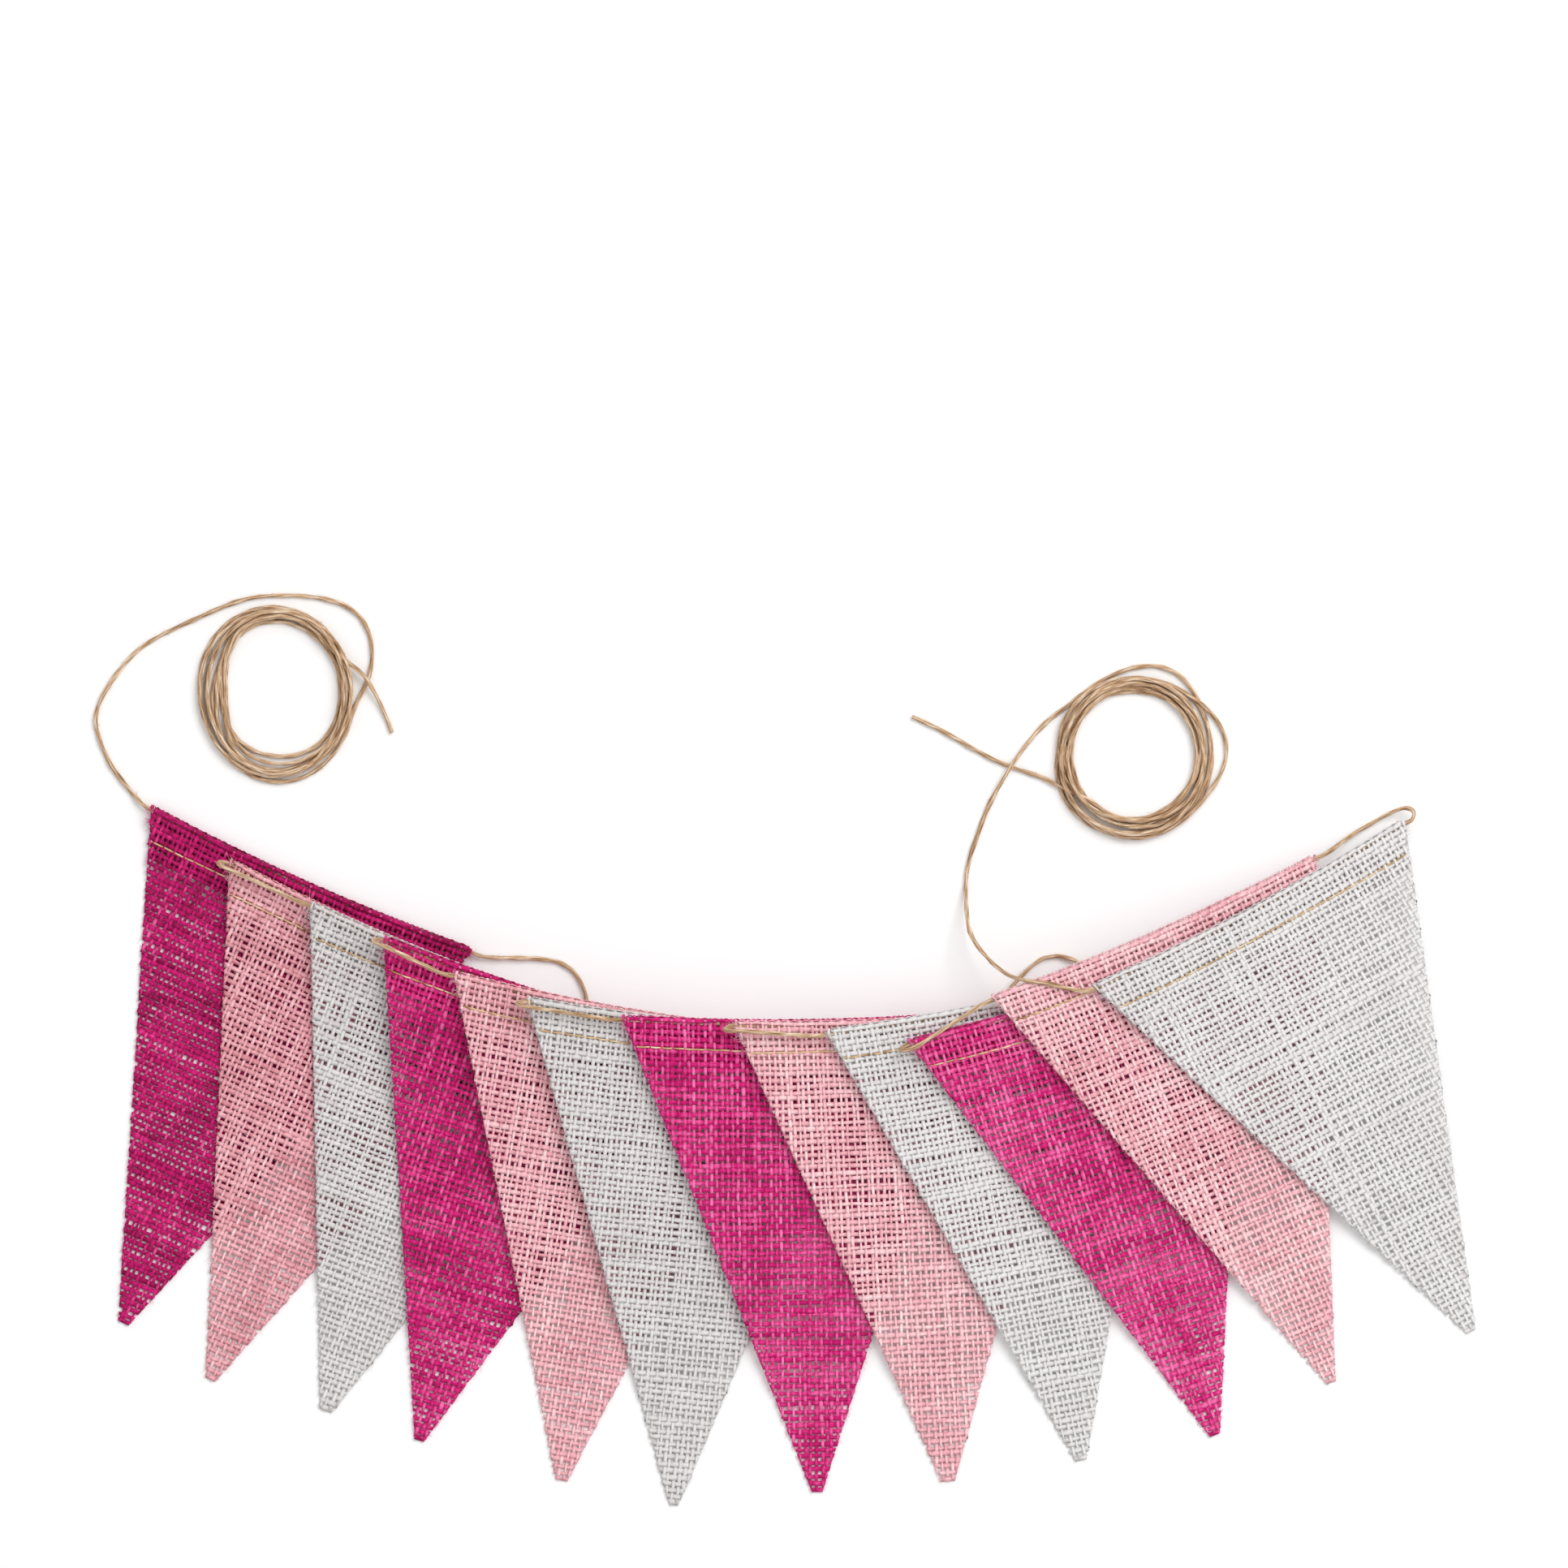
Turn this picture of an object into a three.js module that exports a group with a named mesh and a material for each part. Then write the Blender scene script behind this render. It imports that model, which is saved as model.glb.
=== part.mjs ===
// Hessian bunting laid out on a table: twelve triangular pennants strung on one jute twine.
// The pennants lie in a fan, each over the one on its left, and both ends of the twine are coiled.
// Millimetres, +Z up from the table, +Y towards the coils, origin under the middle of the fan.
import * as THREE from 'three';

// Cloth
const CLOTH = 1.0; // thickness of the hessian
const PENNANT_WIDTH = 130; // along the folded top edge
const TIP_WIDTH = 3; // the point is a little blunt
const CORNER_TRIM = 3; // the ends of the fold are drawn in by this much
const TOP_BOW = 2.5; // the slack top edge sags towards the point at mid width
const TOP_BOW_REACH = 80; // how far down the pennant the sag dies out
const HEM_DEPTH = 17.5; // fold to the raw edge of the turned-back flap
const STITCH_DEPTH = 12; // fold to the line of stitching
const HEM_FADE = 27; // fold to where the front layer lies flat again
const FLAP_CLEAR = 0.8; // the front layer stays up this far past the flap's raw edge

// Twine and the air between pieces
const TWINE = 1.8; // diameter
const TWINE_RADIUS = TWINE / 2;
const TWINE_SIDES = 8;
const GAP = 0.3;

// The fold is a half round that wraps the twine
const NOSE_INNER = TWINE_RADIUS + GAP;
const NOSE_OUTER = NOSE_INNER + CLOTH;
const FOLD_ANGLES = [45, 90, 135];

// How the cloth is divided, and how it falls over what lies below it
const COLUMNS = 7;
const BODY_ROWS = 8;
const LAY_CLEARANCE = 0.64; // a flat facet over a curved one still clears by about the gap
const STEEPEST_FALL = 0.14;
const EDGE_MARGIN = 2.5; // cloth starts to rise this far before the edge of what it lies on
const SETTLE_PASSES = 16;
const SAMPLES = 6; // along each side of a cell

// Pennants in the order they are threaded: hem's left end, slope of the top edge in degrees, point
const PENNANTS = [
  { dye: 'magenta', x: -236.5, y: 128.8, slope: -24.0, tipX: -247.5, tipY: -63.1 },
  { dye: 'pink', x: -207.6, y: 109.2, slope: -23.5, tipX: -215.4, tipY: -83.3 },
  { dye: 'white', x: -177.9, y: 93.7, slope: -20.5, tipX: -173.4, tipY: -95.8 },
  { dye: 'magenta', x: -151.1, y: 81.2, slope: -17.5, tipX: -138.6, tipY: -105.3 },
  { dye: 'pink', x: -125.5, y: 68.1, slope: -10.0, tipX: -86.6, tipY: -121.1 },
  { dye: 'white', x: -98.8, y: 58.9, slope: -6.0, tipX: -45.2, tipY: -128.8 },
  { dye: 'magenta', x: -64.3, y: 52.1, slope: 0.5, tipX: 7.4, tipY: -124.6 },
  { dye: 'pink', x: -23.8, y: 50.0, slope: 3.0, tipX: 55.6, tipY: -122.3 },
  { dye: 'white', x: 10.1, y: 46.7, slope: 11.5, tipX: 104.4, tipY: -113.3 },
  { dye: 'magenta', x: 39.9, y: 43.1, slope: 17.5, tipX: 153.5, tipY: -103.8 },
  { dye: 'pink', x: 70.5, y: 59.2, slope: 23.5, tipX: 196.0, tipY: -83.9 },
  { dye: 'white', x: 107.4, y: 63.1, slope: 28.0, tipX: 247.5, tipY: -65.4 },
];

const HESSIAN = {
  magenta: new THREE.MeshStandardMaterial({ color: 0xb0105c, roughness: 0.9, metalness: 0 }),
  pink: new THREE.MeshStandardMaterial({ color: 0xe9a7b4, roughness: 0.9, metalness: 0 }),
  white: new THREE.MeshStandardMaterial({ color: 0xe9e6df, roughness: 0.9, metalness: 0 }),
};
const JUTE = new THREE.MeshStandardMaterial({ color: 0x9c7a52, roughness: 0.95, metalness: 0 });

const mix = (a, b, t) => a + (b - a) * t;
const clamp01 = (t) => Math.min(1, Math.max(0, t));

// Height of the front layer's underside above the pennant's own bed, at depth v below the fold
const FRONT_SECTION = [
  { v: 0, under: 2 * NOSE_OUTER - CLOTH },
  { v: NOSE_OUTER, under: 2 * NOSE_OUTER - CLOTH },
  { v: 6, under: 2.2 },
  { v: STITCH_DEPTH, under: CLOTH + GAP },
  { v: HEM_DEPTH + FLAP_CLEAR, under: CLOTH + GAP },
  { v: HEM_FADE, under: 0 },
];

function frontUnderside(v) {
  if (v >= HEM_FADE) return 0;
  let row = 0;
  while (FRONT_SECTION[row + 1].v < v) row += 1;
  const a = FRONT_SECTION[row];
  const b = FRONT_SECTION[row + 1];
  return mix(a.under, b.under, clamp01((v - a.v) / (b.v - a.v)));
}

// One pennant in plan: u runs along the fold from its left end, v down from the fold
class Pennant {
  constructor(row) {
    this.row = row;
    const slope = THREE.MathUtils.degToRad(row.slope);
    this.along = new THREE.Vector2(Math.cos(slope), Math.sin(slope));
    this.down = new THREE.Vector2(Math.sin(slope), -Math.cos(slope));
    this.corner = new THREE.Vector2(row.x, row.y);
    const tip = new THREE.Vector2(row.tipX, row.tipY).sub(this.corner);
    this.tipU = tip.dot(this.along);
    this.length = tip.dot(this.down);
    this.bedDepths = [0, STITCH_DEPTH, HEM_FADE];
    for (let k = 1; k <= BODY_ROWS; k += 1) {
      this.bedDepths.push(mix(HEM_FADE, this.length, k / BODY_ROWS));
    }
    this.bed = this.bedDepths.map(() => new Array(COLUMNS + 1).fill(0));
  }

  // Left and right cut edges at depth v
  sides(v) {
    const t = v / this.length;
    const trim = Math.max(0, CORNER_TRIM - v);
    const left = mix(0, this.tipU - TIP_WIDTH / 2, t) + trim;
    const right = mix(PENNANT_WIDTH, this.tipU + TIP_WIDTH / 2, t) - trim;
    return { left, right };
  }

  bow(u, v) {
    const s = clamp01(u / PENNANT_WIDTH);
    return TOP_BOW * 4 * s * (1 - s) * Math.max(0, 1 - v / TOP_BOW_REACH);
  }

  plan(u, v) {
    const depth = v + this.bow(u, v);
    return this.corner.clone().addScaledVector(this.along, u).addScaledVector(this.down, depth);
  }

  planAcross(across, v) {
    const { left, right } = this.sides(v);
    return this.plan(mix(left, right, across), v);
  }

  // Where a plan point falls on this pennant: fraction across, depth, and how far outside it lies
  locate(point) {
    const from = point.clone().sub(this.corner);
    const u = from.dot(this.along);
    const depth = from.dot(this.down);
    const v = depth - this.bow(u, depth);
    const { left, right } = this.sides(THREE.MathUtils.clamp(v, 0, this.length));
    const outside = Math.max(-v, v - this.length, left - u, u - right);
    return { across: clamp01((u - left) / (right - left)), v, outside };
  }

  // Height of the bed, the surface that the pennant's underside lies on
  bedHeight(across, v) {
    const depths = this.bedDepths;
    const depth = THREE.MathUtils.clamp(v, 0, this.length);
    let r = 0;
    while (r < depths.length - 2 && depths[r + 1] < depth) r += 1;
    const t = (depth - depths[r]) / (depths[r + 1] - depths[r]);
    const c = Math.min(COLUMNS - 1, Math.floor(across * COLUMNS));
    const s = across * COLUMNS - c;
    const upper = mix(this.bed[r][c], this.bed[r][c + 1], s);
    const lower = mix(this.bed[r + 1][c], this.bed[r + 1][c + 1], s);
    return mix(upper, lower, t);
  }

  topHeight(point, margin) {
    const { across, v, outside } = this.locate(point);
    if (outside > margin) return 0;
    return this.bedHeight(across, v) + frontUnderside(v) + CLOTH;
  }

  // Centre of the twine inside the hem
  casingPoint(across) {
    const plan = this.planAcross(across, NOSE_OUTER);
    return new THREE.Vector3(plan.x, plan.y, this.bedHeight(across, NOSE_OUTER) + NOSE_OUTER);
  }

  // A point off the hem: u and v as on the cloth, height above the bed at that end
  hemPoint(u, v, height) {
    const plan = this.corner.clone().addScaledVector(this.along, u).addScaledVector(this.down, v);
    const across = clamp01(u / PENNANT_WIDTH);
    return new THREE.Vector3(plan.x, plan.y, this.bedHeight(across, 0) + height);
  }
}

// Height of whatever already lies under a plan point: cloth, a loop of twine, or the table
function pileHeight(point, cloths, loops, margin) {
  let top = 0;
  for (const cloth of cloths) top = Math.max(top, cloth.topHeight(point, margin));
  for (const loop of loops) {
    if (Math.hypot(point.x - loop.x, point.y - loop.y) < TWINE + margin) {
      top = Math.max(top, loop.z + TWINE_RADIUS);
    }
  }
  return top;
}

// Lays a pennant on the pile: each point rests on what is below, the cloth falls away from a high
// spot no steeper than it can bend, and is lifted wherever something below would press through
function settle(cloth, cloths, loops) {
  const points = [];
  cloth.bedDepths.forEach((v, r) => {
    for (let c = 0; c <= COLUMNS; c += 1) {
      const plan = cloth.planAcross(c / COLUMNS, v);
      const pile = pileHeight(plan, cloths, loops, EDGE_MARGIN);
      points.push({ r, c, plan, rest: pile > 0 ? pile + LAY_CLEARANCE : 0 });
    }
  });
  for (const a of points) {
    let height = a.rest;
    for (const b of points) {
      height = Math.max(height, b.rest - STEEPEST_FALL * a.plan.distanceTo(b.plan));
    }
    cloth.bed[a.r][a.c] = height;
  }
  for (let pass = 0; pass < SETTLE_PASSES; pass += 1) liftOffPile(cloth, cloths, loops);
}

function liftOffPile(cloth, cloths, loops) {
  const { bed, bedDepths } = cloth;
  for (let r = 0; r < bedDepths.length - 1; r += 1) {
    for (let c = 0; c < COLUMNS; c += 1) {
      for (let n = 0; n < (SAMPLES + 1) ** 2; n += 1) {
        const s = (n % (SAMPLES + 1)) / SAMPLES;
        const t = Math.floor(n / (SAMPLES + 1)) / SAMPLES;
        const plan = cloth.planAcross((c + s) / COLUMNS, mix(bedDepths[r], bedDepths[r + 1], t));
        const pile = pileHeight(plan, cloths, loops, EDGE_MARGIN / 2);
        const weights = [(1 - s) * (1 - t), s * (1 - t), (1 - s) * t, s * t];
        const cell = [[r, c], [r, c + 1], [r + 1, c], [r + 1, c + 1]];
        const height = cell.reduce((sum, [i, j], k) => sum + weights[k] * bed[i][j], 0);
        const short = pile + LAY_CLEARANCE - height;
        if (pile === 0 || short <= 0) continue;
        const share = weights.reduce((sum, w) => sum + w * w, 0);
        cell.forEach(([i, j], k) => {
          bed[i][j] += (short * weights[k]) / share;
        });
      }
    }
  }
}

// Rows of the cloth from its point, up the front, round the fold and down the flap behind
function sectionRows(cloth) {
  const rows = [];
  for (let k = BODY_ROWS; k >= 1; k -= 1) {
    const v = mix(HEM_FADE, cloth.length, k / BODY_ROWS);
    rows.push({ outer: { v, z: CLOTH }, inner: { v, z: 0 } });
  }
  for (const { v, under } of FRONT_SECTION.slice(1).reverse()) {
    rows.push({ outer: { v, z: under + CLOTH }, inner: { v, z: under } });
  }
  for (const angle of FOLD_ANGLES) {
    const turn = THREE.MathUtils.degToRad(angle);
    const at = (radius) => ({
      v: NOSE_OUTER - radius * Math.sin(turn),
      z: NOSE_OUTER + radius * Math.cos(turn),
    });
    rows.push({ outer: at(NOSE_OUTER), inner: at(NOSE_INNER) });
  }
  for (const v of [NOSE_OUTER, (NOSE_OUTER + HEM_DEPTH) / 2, HEM_DEPTH]) {
    rows.push({ outer: { v, z: 0 }, inner: { v, z: CLOTH } });
  }
  return rows;
}

// A box one cell thick, bent along the section: its +Z face is the outside of the cloth
function pennantMesh(cloth, name) {
  const rows = sectionRows(cloth);
  const geometry = new THREE.BoxGeometry(1, 1, 1, COLUMNS, rows.length - 1, 1);
  const position = geometry.attributes.position;
  for (let i = 0; i < position.count; i += 1) {
    const across = position.getX(i) + 0.5;
    const row = rows[Math.round((position.getY(i) + 0.5) * (rows.length - 1))];
    const { v, z } = position.getZ(i) > 0 ? row.outer : row.inner;
    const plan = cloth.planAcross(across, v);
    position.setXYZ(i, plan.x, plan.y, cloth.bedHeight(across, v) + z);
  }
  geometry.computeVertexNormals();
  const mesh = new THREE.Mesh(geometry, HESSIAN[cloth.row.dye]);
  mesh.name = name;
  return mesh;
}

// A curve that puts one ring of the tube at each of its own points
class StationPath extends THREE.CatmullRomCurve3 {
  getUtoTmapping(u) {
    return u;
  }
}

function twineMesh(points, name) {
  const section = new THREE.Shape();
  for (let side = 0; side < TWINE_SIDES; side += 1) {
    const angle = (2 * Math.PI * side) / TWINE_SIDES;
    const x = TWINE_RADIUS * Math.cos(angle);
    const y = TWINE_RADIUS * Math.sin(angle);
    if (side === 0) section.moveTo(x, y);
    else section.lineTo(x, y);
  }
  section.closePath();
  const path = new StationPath(points, false, 'centripetal');
  const geometry = new THREE.ExtrudeGeometry(section, { steps: points.length - 1, extrudePath: path });
  const mesh = new THREE.Mesh(geometry, JUTE);
  mesh.name = name;
  return mesh;
}

// Loops at the right-hand ends: the twine leaves one hem, swings outside the fold of the next and
// turns back into it. Crest: the loop's outermost point, in from the end of that hem and off its fold
const RIGHT_LOOPS = {
  1: { crestIn: 2, crestOut: 13, past: 12 },
  3: { crestIn: 16, crestOut: 3.2, past: 7 },
  5: { crestIn: 16, crestOut: 3.2, past: 7 },
  7: { crestIn: 13, crestOut: 18, past: 6 },
  9: { crestIn: 16, crestOut: 3.2, past: 7 },
  11: { crestIn: 18, crestOut: 4.2, past: 4.5 },
};
// The way round the end of a hem, as shares of how far past it the loop goes and of its crest
const LOOP_TURN = [
  { past: 0.75, crest: 0.5, casing: 0 },
  { past: 1, crest: 0, casing: 0.3 },
  { past: 0.55, crest: 0, casing: 1.3 },
];
const LOOP_STEPS = 13;
const LOOP_SAG = 0.95; // how nearly the middle of a loop comes down to the table
const UNDER_NEXT = 6; // points of a loop that the next pennant may lie over
const STRAIGHT_OUT = 4; // the twine leaves a hem straight for this length

function rightLoop(from, to, { crestIn, crestOut, past }) {
  const start = from.casingPoint(1);
  const end = to.casingPoint(1);
  const out = from.along.clone().multiplyScalar(STRAIGHT_OUT).add(start);
  const keys = [
    new THREE.Vector2(start.x, start.y),
    out,
    to.plan(PENNANT_WIDTH - crestIn, -crestOut),
    ...LOOP_TURN.map((turn) =>
      to.plan(PENNANT_WIDTH + past * turn.past, NOSE_OUTER * turn.casing - crestOut * turn.crest),
    ),
    new THREE.Vector2(end.x, end.y),
  ];
  const route = new THREE.CatmullRomCurve3(keys.map((key) => new THREE.Vector3(key.x, key.y, 0)));
  return route.getSpacedPoints(LOOP_STEPS).slice(1, -1).map((point, i) => {
    const t = (i + 1) / LOOP_STEPS;
    const resting = LOOP_SAG * Math.sin(Math.PI * t) ** 2;
    return point.setZ(mix(mix(start.z, end.z, t), TWINE_RADIUS, resting));
  });
}

// Loops at the left-hand ends: out of one hem, round its end, back over the top and into the next
const LEFT_TURN = [
  { u: 0.6, v: 2.3, z: 2.2 },
  { u: -1.8, v: 2.6, z: 2.3 },
  { u: -3.4, v: 3.2, z: 3.2 },
  { u: -3.3, v: 3.8, z: 4.4 },
  { u: -1.4, v: 4.2, z: 5.4 },
  { u: 2.0, v: 4.2, z: 5.8 },
];

const LEFT_RUN = [0.35, 0.7]; // rests on the hem at these shares of the way to the next one

function leftLoop(from, to, below) {
  const points = LEFT_TURN.map(({ u, v, z }) => from.hemPoint(u, v, z));
  const last = points[points.length - 1];
  const approach = to.hemPoint(-STRAIGHT_OUT, NOSE_OUTER, NOSE_OUTER);
  for (const t of LEFT_RUN) {
    const point = last.clone().lerp(approach, t);
    const pile = pileHeight(new THREE.Vector2(point.x, point.y), below, [], TWINE_RADIUS);
    point.z = Math.max(point.z, pile + GAP + TWINE_RADIUS);
    points.push(point);
  }
  points.push(approach);
  return points;
}

function casing(cloth, leftToRight) {
  const points = [];
  for (let c = 0; c <= COLUMNS; c += 1) points.push(cloth.casingPoint(c / COLUMNS));
  return leftToRight ? points : points.reverse();
}

// Lay the pennants one by one and thread the twine through their hems, to and fro
const bunting = new THREE.Group();
const cloths = [];
const loops = [];
const strung = [];
PENNANTS.forEach((row, i) => {
  const number = i + 1;
  const leftToRight = number % 2 === 1;
  const cloth = new Pennant(row);
  const before = cloths[i - 1];
  const shape = RIGHT_LOOPS[number - 1];
  const crossing = shape ? rightLoop(before, cloth, shape).slice(0, UNDER_NEXT) : [];
  settle(cloth, cloths, [...loops, ...crossing]);
  if (shape) {
    const loop = rightLoop(before, cloth, shape);
    loops.push(...loop);
    strung.push(...loop);
  } else if (before) {
    strung.push(...leftLoop(before, cloth, cloths));
  }
  strung.push(...casing(cloth, leftToRight));
  cloths.push(cloth);
  bunting.add(pennantMesh(cloth, `pennant_${String(number).padStart(2, '0')}`));
});
bunting.add(twineMesh(strung, 'twine_strung'));

// The two free ends of the twine. Each runs over the table to its coil; a short cut end comes out
const COILS = {
  left: { x: -190.2, y: 169.3, radiusX: 29.5, radiusY: 33.0, band: 8.0, height: 5.4 },
  right: { x: 123.5, y: 146.4, radiusX: 30.2, radiusY: 31.2, band: 8.0, height: 5.4 },
};
const COIL_SECTION_SIDES = 10;
const COIL_SEGMENTS = 30;

// Routes in plan, from the hem to the coil and from the coil to the cut end
const ROUTES = {
  left_lead: [
    [-243.3, 132.4], [-250.5, 141.3], [-254.0, 148.1], [-256.4, 155.0],
    [-257.3, 160.6], [-256.1, 164.5], [-252.0, 172.5], [-247.2, 178.8], [-242.4, 184.4],
    [-233.8, 190.1], [-224.0, 194.8], [-215.4, 198.7], [-206.7, 202.3], [-198.7, 204.5],
    [-190.7, 205.0], [-182.7, 205.0], [-174.0, 204.0], [-165.1, 201.2], [-160.3, 197.5],
    [-157.1, 192.5], [-155.6, 185.3], [-155.9, 179.7], [-157.1, 174.0], [-159.0, 170.2],
  ],
  left_end: [
    [-160.9, 179.4], [-158.9, 176.5], [-157.1, 173.6], [-154.6, 169.3],
    [-152.3, 164.5], [-150.2, 159.8], [-148.4, 154.7],
  ],
  right_lead: [
    [98.5, 61.4], [92.5, 63.0], [82.7, 64.3], [77.9, 65.7], [72.3, 69.6], [68.4, 73.8],
    [64.6, 78.5], [62.8, 83.3], [61.9, 93.1], [61.9, 100.5], [63.1, 108.3], [66.0, 116.6],
    [69.3, 125.8], [73.5, 134.2], [78.5, 142.5], [85.1, 151.7], [91.9, 159.2], [97.8, 163.5],
  ],
  right_end: [
    [93.2, 137.8], [88.7, 138.9], [79.4, 141.9], [72.6, 144.6],
    [64.3, 149.0], [54.1, 155.0], [48.0, 158.0], [42.2, 160.6],
  ],
};
const TIE_STEP = 4.5; // between rings of a tube
const TWINE_FALL = 0.6; // steepest slope as it comes down off the pile
const HUMP = 2.7; // rise where one strand crosses another
const HUMP_REACH = 8;
const CROSSINGS = {
  left_end: { x: -157.1, y: 173.8 },
  right_lead: { x: 78.6, y: 142.3 },
};

// Rests a plan route on the pile or the table, falls gently from high spots and humps over a crossing
function layTie(name, exit = []) {
  const flat = ROUTES[name].map(([x, y]) => new THREE.Vector3(x, y, 0));
  flat.unshift(...exit.map((point) => point.clone().setZ(0)));
  const curve = new THREE.CatmullRomCurve3(flat, false, 'centripetal');
  const stations = curve.getSpacedPoints(Math.round(curve.getLength() / TIE_STEP));
  const rest = stations.map((point) => {
    const pile = pileHeight(new THREE.Vector2(point.x, point.y), cloths, loops, TWINE_RADIUS);
    return pile > 0 ? pile + GAP + TWINE_RADIUS : TWINE_RADIUS;
  });
  exit.forEach((point, i) => {
    rest[i] = point.z;
  });
  const cross = CROSSINGS[name];
  return stations.map((point, i) => {
    let height = rest[i];
    stations.forEach((other, j) => {
      height = Math.max(height, rest[j] - TWINE_FALL * point.distanceTo(other));
    });
    const away = cross ? Math.hypot(point.x - cross.x, point.y - cross.y) : Infinity;
    const hump = HUMP * Math.exp(-((away / HUMP_REACH) ** 2));
    return new THREE.Vector3(point.x, point.y, i < exit.length ? rest[i] : height + hump);
  });
}

// The outer shape of a coil: a flattened ring, a little oval in plan
function coilMesh({ x, y, radiusX, radiusY, band, height }, name) {
  const profile = [];
  for (let side = 0; side <= COIL_SECTION_SIDES; side += 1) {
    const angle = (2 * Math.PI * (side + 0.5)) / COIL_SECTION_SIDES - Math.PI / 2;
    const r = radiusY - band / 2 + (band / 2) * Math.cos(angle);
    const lift = Math.sin(angle) / Math.cos(Math.PI / COIL_SECTION_SIDES);
    profile.push(new THREE.Vector2(r, (height / 2) * (1 + lift)));
  }
  const geometry = new THREE.LatheGeometry(profile, COIL_SEGMENTS);
  geometry.rotateX(Math.PI / 2);
  geometry.scale(radiusX / radiusY, 1, 1);
  const mesh = new THREE.Mesh(geometry, JUTE);
  mesh.position.set(x, y, 0);
  mesh.name = name;
  return mesh;
}

// A tie leaves its hem straight, face to face with the strung twine
function hemExit(cloth) {
  const mouth = cloth.casingPoint(0);
  const inside = cloth.casingPoint(1 / COLUMNS);
  const outward = mouth.clone().sub(inside).normalize();
  return [GAP, STRAIGHT_OUT].map((away) => mouth.clone().addScaledVector(outward, away));
}

const firstExit = hemExit(cloths[0]);
const lastExit = hemExit(cloths[cloths.length - 1]);
bunting.add(twineMesh(layTie('left_lead', firstExit), 'left_tie_lead'));
bunting.add(coilMesh(COILS.left, 'left_tie_coil'));
bunting.add(twineMesh(layTie('left_end'), 'left_tie_end'));
bunting.add(twineMesh(layTie('right_lead', lastExit), 'right_tie_lead'));
bunting.add(coilMesh(COILS.right, 'right_tie_coil'));
bunting.add(twineMesh(layTie('right_end'), 'right_tie_end'));

export default bunting;
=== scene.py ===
# Hessian bunting laid out in a fan on a table: twelve pennants strung on one jute twine.
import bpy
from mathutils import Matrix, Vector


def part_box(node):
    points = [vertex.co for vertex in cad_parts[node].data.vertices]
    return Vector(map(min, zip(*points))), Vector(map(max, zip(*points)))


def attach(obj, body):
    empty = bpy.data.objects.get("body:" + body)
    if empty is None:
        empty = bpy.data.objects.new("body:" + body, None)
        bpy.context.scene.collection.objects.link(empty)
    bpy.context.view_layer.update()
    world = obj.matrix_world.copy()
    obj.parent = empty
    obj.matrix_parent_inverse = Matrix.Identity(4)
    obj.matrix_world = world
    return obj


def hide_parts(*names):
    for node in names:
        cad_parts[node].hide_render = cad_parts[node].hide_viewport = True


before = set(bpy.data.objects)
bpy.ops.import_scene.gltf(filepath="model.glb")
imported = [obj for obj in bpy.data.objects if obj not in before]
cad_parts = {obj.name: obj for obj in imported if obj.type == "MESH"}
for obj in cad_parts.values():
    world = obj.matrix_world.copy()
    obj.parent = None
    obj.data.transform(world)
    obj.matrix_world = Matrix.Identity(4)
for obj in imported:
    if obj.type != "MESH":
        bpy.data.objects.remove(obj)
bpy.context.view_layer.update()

import bpy
import numpy as np

# Camera: straight above the table, with the hems towards the top of the picture.
# A long lens, so the fan keeps the outline that it was laid out to.
VIEW_CENTRE = (-0.00476, 0.13595)
VIEW_WIDTH = 0.5747
LENS = 400.0
SENSOR = 36.0
camera = bpy.data.objects.new("camera", bpy.data.cameras.new("camera"))
camera.data.lens = LENS
camera.data.sensor_width = SENSOR
camera.data.clip_end = 100.0
camera.location = (*VIEW_CENTRE, VIEW_WIDTH * LENS / SENSOR)
bpy.context.scene.collection.objects.link(camera)
bpy.context.scene.camera = camera

# Free ends of the twine: one loosely spun hairy strand of jute. Each runs from its hem over the
# table and is wound by hand into a slack coil, and the cut end sticks out of the coil.
MM = 0.001
TWINE_RADIUS = 0.9 * MM
TWINE_SIDES = 10
TWINE_STEP = 1.0 * MM
TWINE_LAY = 17.0 * MM  # one full twist of the strand
CAD_TUBE_SIDES = 8
HAIR_RINGS = 4
HAIR_SIDES = 3
HAIRS_PER_METRE = 520
HAIR_RADIUS = 0.075 * MM
JUTE_DARK = (112, 78, 46)
JUTE_MID = (188, 153, 118)
JUTE_LIGHT = (240, 220, 196)

# Turns of a coil, outermost first: distance from the middle of the band, and height of the strand
COIL_SLOTS = np.array([
    (2.7, 0.9), (0.9, 0.9), (-0.9, 0.9), (-2.7, 0.9), (-1.8, 2.46),
    (0.0, 2.46), (1.8, 2.46), (0.9, 4.0), (-0.9, 4.0), (-3.6, 2.46), (-3.6, 2.46),
]) * MM
COIL_BAND = 8.0 * MM
COIL_STEPS = 120  # a turn
LOOSE_DROP = 3.0  # mm out at which a loose strand lies on the table
SHIFT_START = 0.72  # share of a turn after which the strand moves to the next slot
COIL_WOBBLE = ((0.63, 0.5), (1.71, 0.55), (2.37, 0.4), (3.13, 0.22))  # waves a turn, mm
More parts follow.
